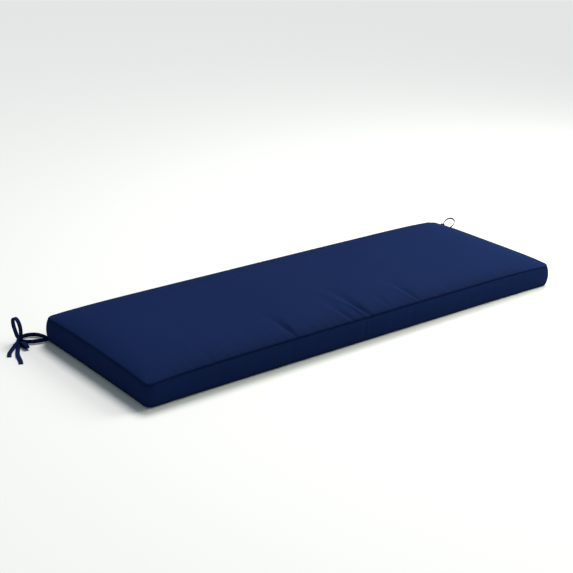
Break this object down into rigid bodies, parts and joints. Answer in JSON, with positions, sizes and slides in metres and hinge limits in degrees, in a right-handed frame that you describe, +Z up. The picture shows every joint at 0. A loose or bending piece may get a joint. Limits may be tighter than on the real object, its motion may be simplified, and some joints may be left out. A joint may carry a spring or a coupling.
{
  "type": "bench cushion",
  "caption": "Long crowned box cushion for a bench seat, with a boxing band, plain seams and a tied cloth bow at each back corner.",
  "frame": {"origin": "middle of the flat underside, on the surface that the cushion rests on", "axes": "+X along the cushion to its right end as seen from the front, +Y from its front to its back, +Z up out of the crowned top"},
  "size_m": [1.683, 0.636, 0.0825],
  "materials": {
    "cover": "closely woven navy cloth with a faint sheen",
    "tie": "folded and stitched strip of the same navy cloth"
  },
  "bodies": {
    "root": {"cushion": "cover", "tie_left": "tie", "tie_right": "tie"}
  },
  "joints": []
}
